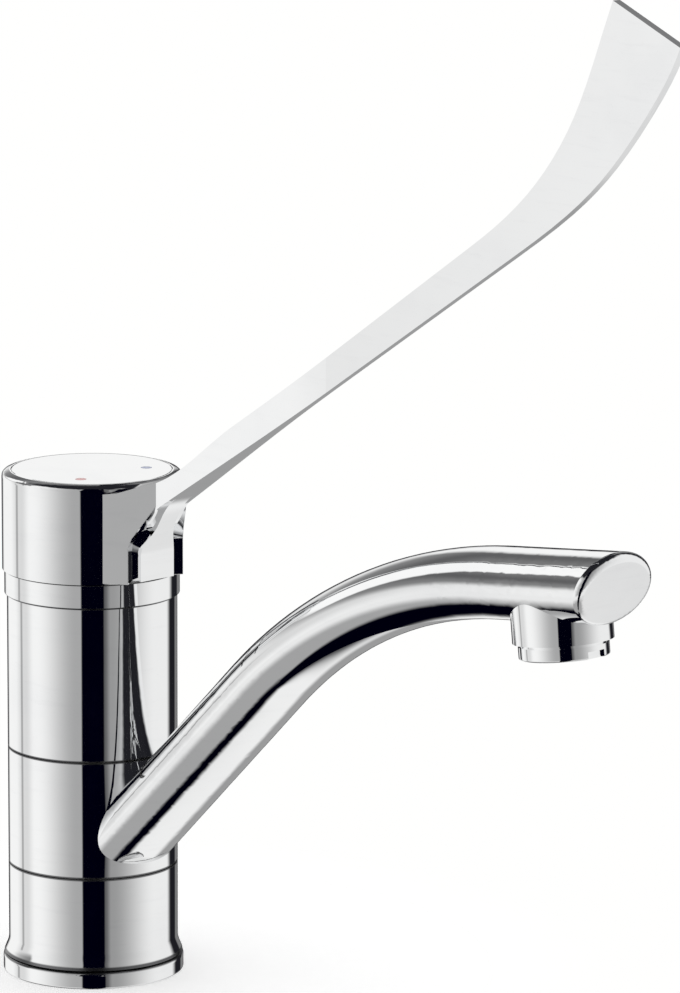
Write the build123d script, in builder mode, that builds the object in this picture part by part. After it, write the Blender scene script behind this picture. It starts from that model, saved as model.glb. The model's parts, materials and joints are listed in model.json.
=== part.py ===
from build123d import *
from math import asin, cos, degrees, radians, sin
import os

# Basin mixer tap, in millimetres. Z is up, the deck is at Z = 0,
# and the spout and the lever point along -Y when the tap is shut.

# Outside sizes, from the deck up
BODY_R = 24.0               # upper body and spout collar
FLANGE_R = 25.6             # base ring
FLANGE_H = 5.0
FOOT_H = 26.1               # lower body section
COLLAR_H = 33.3             # the part of the spout that turns
UPPER_H = 43.75             # upper body section
RING_R = 24.7               # turning ring under the cap
RING_H = 6.6
CAP_R = 25.3
CAP_H = 28.1
LID_R = 22.7
LID_T = 1.8
LID_GAP = 0.1
FOOT_FLARE = 1.3            # the foot grows by this at its bottom
FOOT_FLARE_H = 4.5
FOOT_FLARE_LEAN = 0.35
FOOT_RELIEF_R = 21.4        # inside of the foot between its two lands
FOOT_LAND_H = 3.5
FLANGE_EDGE_R = 1.2
FLANGE_FOOT_R = 0.5
GASKET_INSET = 3.2
GASKET_LIP = 1.8
GASKET_T = 1.8
JOINT_LINE = 0.25           # dark line between two fixed sections
RUN_GAP = 0.3               # gap between sections that turn on each other
FIT = 0.05                  # running fit, on the radius
SEAT = 0.02                 # gap of a part that is simply put in its place
THREAD_CLEAR = 0.04
OVER = 1.0                  # cuts and bars run on this far past a face

# Barrel inside the collar, and what runs on it
BARREL_R = 18.4
BARREL_GAP = 0.3
SPIGOT_IN = 1.6             # the barrel's lower end is smaller by this, on the radius
SPIGOT_H = 8.0
BUSH_R = 20.4               # counterbore of the collar for a glide bush
BUSH_SLEEVE_H = 5.0
BUSH_FLANGE_R = 22.4
BUSH_RECESS = 1.2
COLLAR_WATER_R = 20.8       # water ring inside the collar
WATER_RING_H = 6.0
OUTLET_HOLE_R = 3.5
SEAL_SECTION = 1.3
SEAL_GROOVE_W = 3.0
SEAL_PITCH = 12.6           # the two barrel seals, from middle to middle
SWIVEL = 60.0               # spout swings this far each way
STOP_PIN_R = 1.5
STOP_PIN_IN = 4.0
STOP_PIN_UP = 0.6           # above the glide bush
STOP_GROOVE_R = 20.4
STOP_SPARE = 0.4            # degrees left between a stop pin and its groove's end

# Supply and fixing under the deck
INLET_INSET = 5.8           # from the edge of the barrel's lower end in to the two inlets
CHANNEL_RING_R = 12.8       # circle of the channels that rise from them
INLET_ANGLE = 30.0          # towards the front from square
INLET_R = 4.5               # M10 x 1 before threading
INLET_DEPTH = 13.0
CHANNEL_R = 2.6
STUD_R = 4.0                # M8
STUD_INSET = 6.3            # from the edge of the barrel's lower end in to the stud
STUD_IN = 14.0
STUD_BELOW = 58.0
DECK_T = 20.0               # basin thickness that the washers are drawn for
SHOE_R = 21.0
RUBBER_T = 3.0
STEEL_T = 2.5
NUT_AF = 13.0
NUT_H = 8.0
NUT_CORNER = 1.0
STUD_TIP = 0.8
SHOE_OPEN_Y = 0.5
SHOE_OPEN_HALF = 17.0
SHOE_CORNER = 3.0

# Mixing valve
BORE_R = 8.8
BORE_FLOOR = 43.0
SHELL_WALL = 2.35
SHELL_FLANGE_R = 12.0
SHELL_FLANGE_T = 2.5
NUT_R = 14.4
NUT_DEPTH = 11.2
PORT_Z = 78.0
PORT_R = 2.3
SPOOL_LEN = 24.0
SPOOL_BORE_R = 3.4
STEM_R = 3.0
STEM_FLAT = 2.6
BALL_R = 3.6
NECK_GAP = 1.0              # from the stem's end to the ball
TENON_R = 1.8
TENON_H = 3.5
FLAT_H = 8.0
SMALL_SEAL = 0.7            # section radius of the small rings
SHELL_SEAL_Z = 66.0
SHELL_FOOT = 53.0
SPOOL_PORT_UP = 10.0
SPOOL_SEAL_IN = 2.5
NUT_H_IN = 6.0
KEY_SLOT_L = 5.0
KEY_SLOT_W = 3.0
KEY_SLOT_H = 2.5
BALL_ABOVE_CAP_FOOT = 19.4
LIFT_TRAVEL = 5.7           # lifting the lever by 15 degrees draws the stem up this far

# Turning ring, dome and hinge
NECK_R = 18.3
NECK_H = 6.4
NECK_GROOVE = 1.0           # holds the snap ring
LEDGE_H = 3.5
SNAP_UP = 0.2               # under the snap ring
SNAP_T = 1.0
SNAP_W = 2.2
SNAP_OUT_R = 19.6
SNAP_OPENING = 6.0
DOME_R = 21.0
DOME_T = 1.0
DOME_SIDE = 8.6
DOME_RISE = 6.6
DOME_HOLE_R = 10.0
DOME_CREST = 0.15           # slope at the edge of its hole
DOME_BACK = 15.5
TURN = 45.0                 # lever turns this far each way
TURN_PIN_R = 1.2
TURN_PIN_Y = 21.95
TURN_PIN_IN = 3.0
TURN_PIN_UP = 1.9
HINGE_Y = 18.8
HINGE_UP = 2.6              # hinge pin above the foot of the cap
HINGE_PIN_R = 1.5
HINGE_EYE_R = 2.6
EAR_IN = 5.0
EAR_OUT = 7.5
EAR_MID_Y = 18.8
EAR_L = 4.8
EAR_UP = 2.4
EAR_BAND = 21.0             # half angle of the band that carries them
LUG_HALF = 4.7
CAP_RELIEF = 17.0           # slope of the cap's back edge, in degrees
RELIEF_Y = 17.5

# Cap and lever. The blade's points are (y, height above the foot of the cap)
CAP_WALL = 2.1
SHOULDER_H = 1.8            # rounded top edge of the cap
SHOULDER_IN = 2.2
SHOULDER_CREST = 0.25       # its slope where it meets the lid
LID_EDGE = 0.3
ROOF_T = 2.2
NOTCH_HALF = 8.8            # arch in the front of the cap, under the blade
NOTCH_H = 15.8
NOTCH_CORNER = 5.0
BLADE_T = 2.5               # lever blade, edge to edge
LEVER_REACH = 224.0
LEVER_TOP = 178.1           # above the foot of the cap
BLADE_SLOPE = 33.6          # straight stretch of the blade, top edge
BLADE_LOW_SLOPE = 32.9      # the same along its lower edge
TIP_SLOPE = 67.2            # blade at its tip
TIP_W = 25.5
BLADE_RISE = 0.15           # its top edge leaves the cap at this slope
BLADE_BACK_Y = -20.0
BLADE_ROOT_HIGH = (-24.0, 27.0)
BLADE_ROOT_LOW = (-24.4, 14.4)
BLADE_CREST = (-40.0, 33.1)
BLADE_HIGH_START = (-62.0, 49.5)
BLADE_HIGH_END = (-150.0, 108.8)
BLADE_HIGH_BEND = [(-171.5, 125.8), (-185.5, 143.8)]
BLADE_LOW_BEND = [(-213.5, 150.8), (-197.0, 131.4)]
BLADE_LOW_END = (-165.0, 107.5)
BLADE_LOW_START = (-34.5, 23.0)
BLADE_PLAN_ROOT = [(13.0, -21.7), (9.5, -23.8), (6.2, -25.4), (6.0, -29.5)]
BLADE_PLAN_TAPER = [(6.0, -29.5), (5.0, -50.0), (1.25, -74.0), (1.25, -96.0)]

# Tongue that runs down from the blade, in the arch of the cap, with heights above the foot of the cap
TONGUE_HALF = 6.2
TONGUE_HALF_TOP = 3.2
TONGUE_FRONT_Y = -27.3
TONGUE_BACK_Y = -22.6
TONGUE_FOOT = 0.7
TONGUE_BEND = 7.8           # straight below this height
TONGUE_FRONT = [(-33.5, 20.8), (-29.9, 14.7)]
TONGUE_REACH_Y = -38.5      # it runs into the blade's lower edge here
TONGUE_WAIST = 17.8
TONGUE_TOP = 24.8

# Yoke and its screws
YOKE_HALF = 9.0
YOKE_L = 18.0
YOKE_MID_Y = -4.0
YOKE_DOWN = 3.7
YOKE_CORNER = 2.0
BALL_CHANNEL_R = 4.05
NECK_SLOT = 3.3
SCREW_X = 6.7
SCREW_Y = -4.0
SCREW_R = 1.5
SCREW_HEAD_R = 2.75
SCREW_IN = 6.0
SCREW_CONE = 90.0           # angle of the countersink
SOCKET_R = 1.1
SOCKET_H = 1.1

# Spout tube
TUBE_SLOPE = 43.7           # climb of the first straight stretch
TUBE_EXIT_UP = 16.5849      # above the foot of the collar, where its line leaves the collar
TUBE_STRAIGHT = 100.1
TUBE_BEND_R = 159.0
TUBE_END_SLOPE = 6.7
TUBE_START = 12.0           # the tube's solid begins inside the collar
TUBE_ROOT_HALF_W = 15.0
TUBE_HALF_W = 14.0
TUBE_HALF_H = 9.6
TUBE_WALL = 2.5
TUBE_FACE_Y = -203.3        # middle of the slanted end face
TUBE_FACE_LEAN = 15.0
TUBE_EDGE_R = 2.0
DUCT_START = 42.0
FEED_R = 3.0                # slanted hole from the collar into the duct
FEED_BELOW = 2.2
DUCT_END = 10.0             # solid metal left at the closed end

# Outlet under the tube's end
OUTLET_Y = -182.7           # where the outlet's axis crosses the tube's line
OUTLET_DROP = 14.3          # from there down to the rim of the housing
HOUSING_R = 13.4
AERATOR_R = 11.4            # M24 x 1 before threading
AERATOR_RIM_R = 12.0
AERATOR_RIM_H = 3.4
RIM_SEAM = 0.9
RIM_EDGE_R = 0.5
KEY_FLAT_W = 6.0
KEY_FLAT_IN = 1.2
KEY_FLAT_H = 2.0
AERATOR_THREAD_H = 4.4
AERATOR_BORE_R = 9.4
WASHER_T = 1.2
WASHER_HOLE_R = 9.0
INSERT_FLANGE_T = 0.8
INSERT_H = 6.0
INSERT_WALL = 1.2
SPRAY_PITCH = 3.0
SPRAY_HOLE_R = 0.8

# Small marks on the lid
MARK_R = 1.6
MARK_T = 0.8
MARK_RING_R = 15.4
MARK_ANGLE = 53.0

# Heights worked out from the sizes above
foot_z = FLANGE_H + JOINT_LINE
foot_top = foot_z + FOOT_H
collar_z = foot_top + RUN_GAP
collar_top = collar_z + COLLAR_H
upper_z = collar_top + RUN_GAP
upper_top = upper_z + UPPER_H
ring_z = upper_top + RUN_GAP
ring_top = ring_z + RING_H
cap_z = ring_top + RUN_GAP
cap_top = cap_z + CAP_H
neck_top = upper_top + NECK_H
snap_z = ring_z + LEDGE_H + SNAP_UP
hinge_z = cap_z + HINGE_UP
ball_z = cap_z + BALL_ABOVE_CAP_FOOT
water_z = (collar_z + collar_top) / 2
nut_floor = neck_top - NUT_DEPTH
spigot_r = BARREL_R - SPIGOT_IN
stud_y = spigot_r - STUD_INSET
tube_root_z = collar_z + TUBE_EXIT_UP - BODY_R * sin(radians(TUBE_SLOPE)) / cos(radians(TUBE_SLOPE))


def ring_section(r_in, r_out, z_low, z_high):
    """Rectangle of a turned ring, drawn on the XZ plane."""
    with BuildSketch(Plane.XZ) as section:
        with Locations(((r_in + r_out) / 2, (z_low + z_high) / 2)):
            Rectangle(r_out - r_in, z_high - z_low)
    return section.sketch


def turned_ring(r_in, r_out, z_low, z_high, edge=0.0):
    """Plain ring, with its outer edges rounded by edge."""
    with BuildPart() as ring:
        add(ring_section(r_in, r_out, z_low, z_high))
        revolve(axis=Axis.Z)
        if edge > 0:
            rims = ring.edges().filter_by(GeomType.CIRCLE).filter_by(lambda e: e.radius > r_out - edge / 2)
            fillet(rims, radius=edge)
    return ring.part


def turned(points):
    """Solid of revolution about Z from an outline of (radius, height) points."""
    with BuildPart() as solid:
        with BuildSketch(Plane.XZ):
            with BuildLine():
                Polyline(*points, close=True)
            make_face()
        revolve(axis=Axis.Z)
    return solid.part


def seal_ring(middle_r, height, section):
    """Round rubber ring."""
    with BuildPart() as seal:
        with BuildSketch(Plane.XZ):
            with Locations((middle_r, height)):
                Circle(section)
        revolve(axis=Axis.Z)
    return seal.part


def on_circle(radius, angle):
    """Point at an angle from -Y, positive towards +X."""
    return (radius * sin(radians(angle)), -radius * cos(radians(angle)))


# Inlets stand left and right of the axis, a little to the front
inlet_angles = (INLET_ANGLE - 90, 90 - INLET_ANGLE)
inlet_spots = [on_circle(spigot_r - INLET_INSET, angle) for angle in inlet_angles]
channel_spots = [on_circle(CHANNEL_RING_R, angle) for angle in inlet_angles]

# Base ring with its gasket let in underneath
gasket_in = spigot_r + GASKET_INSET
gasket_out = FLANGE_R - GASKET_LIP
with BuildPart() as base_ring:
    add(ring_section(spigot_r + SEAT, FLANGE_R, 0, FLANGE_H))
    revolve(axis=Axis.Z)
    rims = base_ring.edges().filter_by(lambda e: e.geom_type == GeomType.CIRCLE and e.radius > FLANGE_R - 0.1)
    fillet(rims.sort_by(Axis.Z)[-1], radius=FLANGE_EDGE_R)
    fillet(rims.sort_by(Axis.Z)[0], radius=FLANGE_FOOT_R)
    add(ring_section(gasket_in, gasket_out, 0, GASKET_T))
    revolve(axis=Axis.Z, mode=Mode.SUBTRACT)

with BuildPart() as base_gasket:
    add(turned_ring(gasket_in + SEAT, gasket_out - SEAT, 0, GASKET_T - SEAT))

# Foot: lower section, hollowed between two lands, clamped under the barrel's step
foot_ledge = SPIGOT_H
with BuildPart() as foot:
    with BuildSketch(Plane.XZ):
        with BuildLine():
            bottom_r = BODY_R + FOOT_FLARE
            Line((spigot_r + SEAT, foot_z), (bottom_r, foot_z))
            Spline(
                (bottom_r, foot_z),
                (BODY_R, foot_z + FOOT_FLARE_H),
                tangents=[(-FOOT_FLARE_LEAN, 1), (0, 1)],
            )
            Line((BODY_R, foot_z + FOOT_FLARE_H), (BODY_R, foot_top))
            Polyline(
                (BODY_R, foot_top),
                (BUSH_FLANGE_R + SEAT, foot_top),
                (BUSH_FLANGE_R + SEAT, foot_top - BUSH_RECESS),
                (BARREL_R + SEAT, foot_top - BUSH_RECESS),
                (BARREL_R + SEAT, foot_top - BUSH_RECESS - FOOT_LAND_H),
                (FOOT_RELIEF_R, foot_top - BUSH_RECESS - FOOT_LAND_H),
                (FOOT_RELIEF_R, foot_ledge + FOOT_LAND_H),
                (BARREL_R + SEAT, foot_ledge + FOOT_LAND_H),
                (BARREL_R + SEAT, foot_ledge - SEAT),
                (spigot_r + SEAT, foot_ledge - SEAT),
                (spigot_r + SEAT, foot_z),
            )
        make_face()
    revolve(axis=Axis.Z)

# Body: upper section, neck and barrel in one casting
spout_seal_r = BARREL_R + BARREL_GAP - FIT - SEAL_SECTION
spout_seal_spots = (water_z - SEAL_PITCH / 2, water_z + SEAL_PITCH / 2)
with BuildPart() as body:
    with BuildSketch(Plane.XZ):
        with BuildLine():
            Polyline(
                (0, 0),
                (spigot_r, 0),
                (spigot_r, SPIGOT_H),
                (BARREL_R, SPIGOT_H),
                (BARREL_R, upper_z + BUSH_RECESS),
                (BUSH_FLANGE_R + SEAT, upper_z + BUSH_RECESS),
                (BUSH_FLANGE_R + SEAT, upper_z),
                (BODY_R, upper_z),
                (BODY_R, upper_top),
                (NECK_R, upper_top),
                (NECK_R, snap_z - SEAT),
                (NECK_R - NECK_GROOVE, snap_z - SEAT),
                (NECK_R - NECK_GROOVE, snap_z + SNAP_T + SEAT),
                (NECK_R, snap_z + SNAP_T + SEAT),
                (NECK_R, neck_top),
                (0, neck_top),
                close=True,
            )
        make_face()
    revolve(axis=Axis.Z)
    # bore of the valve, and the wider thread for its nut
    with BuildSketch(Plane.XY.offset(BORE_FLOOR)):
        Circle(BORE_R)
    extrude(amount=neck_top - BORE_FLOOR, mode=Mode.SUBTRACT)
    with BuildSketch(Plane.XY.offset(nut_floor - SHELL_FLANGE_T)):
        Circle(SHELL_FLANGE_R + SEAT)
    extrude(amount=SHELL_FLANGE_T, mode=Mode.SUBTRACT)
    with BuildSketch(Plane.XY.offset(nut_floor)):
        Circle(NUT_R + THREAD_CLEAR)
    extrude(amount=NUT_DEPTH, mode=Mode.SUBTRACT)
    # inlets with their channels, and the side ports into the bore
    with BuildSketch(Plane.XY):
        with Locations(*inlet_spots):
            Circle(INLET_R)
    extrude(amount=INLET_DEPTH, mode=Mode.SUBTRACT)
    with BuildSketch(Plane.XY):
        with Locations(*channel_spots):
            Circle(CHANNEL_R)
    extrude(amount=PORT_Z, mode=Mode.SUBTRACT)
    for spot in channel_spots:
        towards_axis = Plane(origin=(spot[0], spot[1], PORT_Z), z_dir=(-spot[0], -spot[1], 0))
        with BuildSketch(towards_axis):
            Circle(PORT_R)
        extrude(amount=CHANNEL_RING_R, mode=Mode.SUBTRACT)
    # mixed water leaves to the front and the back
    with BuildSketch(Plane.XZ.offset(-BODY_R)):
        with Locations((0, water_z)):
            Circle(OUTLET_HOLE_R)
    extrude(amount=2 * BODY_R, mode=Mode.SUBTRACT)
    # grooves of the two barrel seals
    for seal_z in spout_seal_spots:
        add(ring_section(spout_seal_r - SEAL_SECTION - SEAT, BARREL_R + OVER, seal_z - SEAL_GROOVE_W / 2,
                         seal_z + SEAL_GROOVE_W / 2))
        revolve(axis=Axis.Z, mode=Mode.SUBTRACT)
    # thread hole of the fixing stud
    with BuildSketch(Plane.XY):
        with Locations((0, stud_y)):
            Circle(STUD_R + THREAD_CLEAR)
    extrude(amount=STUD_IN, mode=Mode.SUBTRACT)

# Glide bushes, which the spout's collar turns on
bush_in = BARREL_R + SEAT
bush_out = BUSH_R - FIT
low_flange_z = foot_top - BUSH_RECESS
high_flange_z = upper_z + BUSH_RECESS
with BuildPart() as lower_glide_bush:
    add(
        turned(
            [
                (bush_in, low_flange_z + SEAT),
                (BUSH_FLANGE_R, low_flange_z + SEAT),
                (BUSH_FLANGE_R, collar_z - FIT),
                (bush_out, collar_z - FIT),
                (bush_out, collar_z + BUSH_SLEEVE_H - RUN_GAP),
                (bush_in, collar_z + BUSH_SLEEVE_H - RUN_GAP),
            ]
        )
    )
with BuildPart() as upper_glide_bush:
    add(
        turned(
            [
                (bush_in, high_flange_z - SEAT),
                (BUSH_FLANGE_R, high_flange_z - SEAT),
                (BUSH_FLANGE_R, collar_top + FIT),
                (bush_out, collar_top + FIT),
                (bush_out, collar_top - BUSH_SLEEVE_H + RUN_GAP),
                (bush_in, collar_top - BUSH_SLEEVE_H + RUN_GAP),
            ]
        )
    )

# Rubber rings above and below the water ring
with BuildPart() as spout_seals:
    for seal_z in spout_seal_spots:
        add(seal_ring(spout_seal_r, seal_z, SEAL_SECTION))

# Pin that stops the spout at each end of its swing
stop_z = collar_z + BUSH_SLEEVE_H + STOP_PIN_R + STOP_PIN_UP
stop_pin_r_in = BARREL_R - STOP_PIN_IN
stop_pin_plane = Plane(origin=(0, stop_pin_r_in, stop_z), z_dir=(0, 1, 0))
with BuildPart() as swivel_stop_pin:
    with BuildSketch(stop_pin_plane):
        Circle(STOP_PIN_R)
    extrude(amount=STOP_GROOVE_R - RUN_GAP - stop_pin_r_in)

# Pin that stops the lever at hot and at cold
turn_pin_top = ring_z + TURN_PIN_UP
with BuildPart() as turn_stop_pin:
    with BuildSketch(Plane.XY.offset(upper_top - TURN_PIN_IN)):
        with Locations((0, TURN_PIN_Y)):
            Circle(TURN_PIN_R)
    extrude(amount=turn_pin_top - upper_top + TURN_PIN_IN)

with body:
    with BuildSketch(stop_pin_plane):
        Circle(STOP_PIN_R + SEAT)
    extrude(amount=STOP_PIN_IN + OVER, mode=Mode.SUBTRACT)
    with BuildSketch(Plane.XY.offset(upper_top - TURN_PIN_IN - SEAT)):
        with Locations((0, TURN_PIN_Y)):
            Circle(TURN_PIN_R + SEAT)
    extrude(amount=TURN_PIN_IN + OVER, mode=Mode.SUBTRACT)


def arc_band(r_in, r_out, z_low, z_high, half):
    """Band of a ring around Z, half degrees each way from +Y."""
    start = radians(90 - half)
    side = Plane(origin=(0, 0, 0), x_dir=(cos(start), sin(start), 0), z_dir=(sin(start), -cos(start), 0))
    with BuildPart() as band:
        with BuildSketch(side):
            with Locations(((r_in + r_out) / 2, (z_low + z_high) / 2)):
                Rectangle(r_out - r_in, z_high - z_low)
        revolve(axis=Axis.Z, revolution_arc=2 * half)
    return band.part


def pin_sweep(travel, pin_r, at_r):
    """Half angle of a groove in which a pin can travel each way."""
    return travel + degrees(asin(pin_r / at_r)) + STOP_SPARE


# Spout: collar and oval tube, hollow, with the outlet housing
climb_cos, climb_sin = cos(radians(TUBE_SLOPE)), sin(radians(TUBE_SLOPE))
end_cos, end_sin = cos(radians(TUBE_END_SLOPE)), sin(radians(TUBE_END_SLOPE))
bend_y = -TUBE_STRAIGHT * climb_cos - TUBE_BEND_R * (climb_sin - end_sin)
bend_z = tube_root_z + TUBE_STRAIGHT * climb_sin + TUBE_BEND_R * (end_cos - climb_cos)


def tube_solid(skip, last, root_w, half_w, half_h):
    """Oval bar along the tube's centre line, from skip along its first straight stretch."""
    with BuildLine(Plane.YZ) as route:
        start = (-skip * climb_cos, tube_root_z + skip * climb_sin)
        climb = PolarLine(start, TUBE_STRAIGHT - skip, 180 - TUBE_SLOPE)
        bend = JernArc(climb @ 1, climb % 1, TUBE_BEND_R, TUBE_SLOPE - TUBE_END_SLOPE)
        PolarLine(bend @ 1, last, 180 - TUBE_END_SLOPE)
    line = route.line
    with BuildPart() as bar:
        with BuildSketch(Plane(origin=line @ 0, x_dir=(1, 0, 0), z_dir=line % 0)):
            Ellipse(root_w, half_h)
        with BuildSketch(Plane(origin=line @ 1, x_dir=(1, 0, 0), z_dir=line % 1)):
            Ellipse(half_w, half_h)
        sweep(path=line, multisection=True)
    return bar.part


def line_z(y):
    """Height of the tube's centre line in its last straight stretch."""
    return bend_z + (bend_y - y) * end_sin / end_cos


face_lean = radians(TUBE_FACE_LEAN)
face_plane = Plane(
    origin=(0, TUBE_FACE_Y, line_z(TUBE_FACE_Y)), x_dir=(1, 0, 0), z_dir=(0, -cos(face_lean), -sin(face_lean))
)
last_straight = (bend_y - TUBE_FACE_Y) / end_cos
outlet_dir = (0, -end_sin, -end_cos)
outlet_top = Vector(0, OUTLET_Y, line_z(OUTLET_Y))


def outlet_plane(down):
    """Plane square to the outlet's axis, facing down, so far below the tube's centre line."""
    return Plane(origin=outlet_top + Vector(*outlet_dir) * down, x_dir=(1, 0, 0), z_dir=outlet_dir)


washer_down = OUTLET_DROP - AERATOR_THREAD_H - INSERT_FLANGE_T - WASHER_T - SEAT
duct_w, duct_h = TUBE_HALF_W - TUBE_WALL, TUBE_HALF_H - TUBE_WALL
feed_y = -BARREL_R + OVER
with BuildPart() as spout:
    add(ring_section(BARREL_R - OVER, BODY_R, collar_z, collar_top))
    revolve(axis=Axis.Z)
    add(tube_solid(TUBE_START, last_straight + TUBE_HALF_H, TUBE_ROOT_HALF_W, TUBE_HALF_W, TUBE_HALF_H))
    split(bisect_by=Plane.XY.offset(collar_z), keep=Keep.TOP)
    split(bisect_by=face_plane, keep=Keep.BOTTOM)
    face_rim = spout.faces().sort_by(Axis.Y)[0].edges()
    fillet(face_rim, radius=TUBE_EDGE_R)
    with BuildSketch(outlet_plane(0)):
        Circle(HOUSING_R)
    extrude(amount=OUTLET_DROP)
    # water way: ring in the collar, slanted feed hole, oval duct and outlet
    add(ring_section(0, BARREL_R + BARREL_GAP, collar_z, collar_top))
    revolve(axis=Axis.Z, mode=Mode.SUBTRACT)
    for low in (collar_z, collar_top - BUSH_SLEEVE_H):
        add(ring_section(BARREL_R, BUSH_R, low, low + BUSH_SLEEVE_H))
        revolve(axis=Axis.Z, mode=Mode.SUBTRACT)
    add(ring_section(BARREL_R, COLLAR_WATER_R, water_z - WATER_RING_H / 2, water_z + WATER_RING_H / 2))
    revolve(axis=Axis.Z, mode=Mode.SUBTRACT)
    with BuildSketch(Plane(origin=(0, feed_y, water_z - FEED_BELOW), z_dir=(0, -climb_cos, climb_sin))):
        Circle(FEED_R)
    extrude(amount=DUCT_START - TUBE_START, mode=Mode.SUBTRACT)
    add(tube_solid(DUCT_START, last_straight - DUCT_END, duct_w, duct_w, duct_h), mode=Mode.SUBTRACT)
    with BuildSketch(outlet_plane(0)):
        Circle(WASHER_HOLE_R)
    extrude(amount=OUTLET_DROP, mode=Mode.SUBTRACT)
    with BuildSketch(outlet_plane(washer_down)):
        Circle(AERATOR_R)
    extrude(amount=OUTLET_DROP, mode=Mode.SUBTRACT)
    # groove for the pin that stops the swing
    stop_half_h = STOP_PIN_R + RUN_GAP
    add(
        arc_band(BARREL_R, STOP_GROOVE_R, stop_z - stop_half_h, stop_z + stop_half_h,
                 pin_sweep(SWIVEL, STOP_PIN_R, BARREL_R + BARREL_GAP)),
        mode=Mode.SUBTRACT,
    )

# Aerator: washer, plastic insert with its holes, and the screwed shell
with BuildPart() as aerator_washer:
    with BuildSketch(outlet_plane(washer_down + SEAT)):
        Circle(AERATOR_R - FIT)
        Circle(WASHER_HOLE_R, mode=Mode.SUBTRACT)
    extrude(amount=WASHER_T - SEAT)

insert_down = washer_down + WASHER_T + SEAT
insert_r = AERATOR_BORE_R - FIT
with BuildPart() as aerator_insert:
    with BuildSketch(outlet_plane(insert_down)):
        Circle(AERATOR_R - RUN_GAP)
    extrude(amount=INSERT_FLANGE_T - SEAT)
    with BuildSketch(outlet_plane(insert_down)):
        Circle(insert_r)
    extrude(amount=INSERT_H)
    with BuildSketch(outlet_plane(insert_down)):
        Circle(insert_r - INSERT_WALL)
    extrude(amount=INSERT_H - INSERT_WALL, mode=Mode.SUBTRACT)
    with BuildSketch(outlet_plane(insert_down)):
        Circle(SPRAY_HOLE_R)
        for ring_count, ring_r in ((6, SPRAY_PITCH), (12, 2 * SPRAY_PITCH)):
            with PolarLocations(ring_r, ring_count):
                Circle(SPRAY_HOLE_R)
    extrude(amount=INSERT_H, mode=Mode.SUBTRACT)

shell_down = insert_down + INSERT_FLANGE_T + SEAT
rim_down = OUTLET_DROP + RIM_SEAM
with BuildPart() as aerator_shell:
    with BuildSketch(outlet_plane(shell_down)):
        Circle(AERATOR_R - THREAD_CLEAR)
    extrude(amount=rim_down - shell_down)
    with BuildSketch(outlet_plane(rim_down)):
        Circle(AERATOR_RIM_R)
    extrude(amount=AERATOR_RIM_H)
    rim_edges = aerator_shell.edges().filter_by(GeomType.CIRCLE).filter_by(lambda e: e.radius > AERATOR_RIM_R - SEAT)
    fillet(rim_edges.sort_by(Axis.Z)[0], radius=RIM_EDGE_R)
    with BuildSketch(outlet_plane(rim_down + AERATOR_RIM_H)):
        with Locations((0, AERATOR_RIM_R), (0, -AERATOR_RIM_R)):
            Rectangle(KEY_FLAT_W, 2 * KEY_FLAT_IN)
    extrude(amount=-KEY_FLAT_H, mode=Mode.SUBTRACT)
    with BuildSketch(outlet_plane(0)):
        Circle(AERATOR_BORE_R)
    extrude(amount=2 * OUTLET_DROP, mode=Mode.SUBTRACT)


# Valve: shell in the body, and the spool that slides and turns in it
def port_bars(height):
    """Round bars from the axis towards both inlets."""
    with BuildPart() as bars:
        for spot in inlet_spots:
            with BuildSketch(Plane(origin=(0, 0, height), z_dir=(spot[0], spot[1], 0))):
                Circle(PORT_R)
            extrude(amount=BORE_R + OVER)
    return bars.part


shell_r = BORE_R - FIT
shell_in = shell_r - SHELL_WALL
shell_seal_r = BORE_R - SEAT - SMALL_SEAL
shell_seal_spots = (SHELL_SEAL_Z, 2 * PORT_Z - SHELL_SEAL_Z)
with BuildPart() as cartridge_shell:
    add(ring_section(shell_in, shell_r, SHELL_FOOT, nut_floor - SEAT))
    revolve(axis=Axis.Z)
    add(ring_section(shell_in, SHELL_FLANGE_R, nut_floor - SHELL_FLANGE_T + SEAT, nut_floor - SEAT))
    revolve(axis=Axis.Z)
    add(port_bars(PORT_Z), mode=Mode.SUBTRACT)
    for seal_z in shell_seal_spots:
        add(ring_section(shell_seal_r - SMALL_SEAL - SEAT, BORE_R, seal_z - SMALL_SEAL - SEAT,
                         seal_z + SMALL_SEAL + SEAT))
        revolve(axis=Axis.Z, mode=Mode.SUBTRACT)
with BuildPart() as shell_seals:
    for seal_z in shell_seal_spots:
        add(seal_ring(shell_seal_r, seal_z, SMALL_SEAL))

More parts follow.
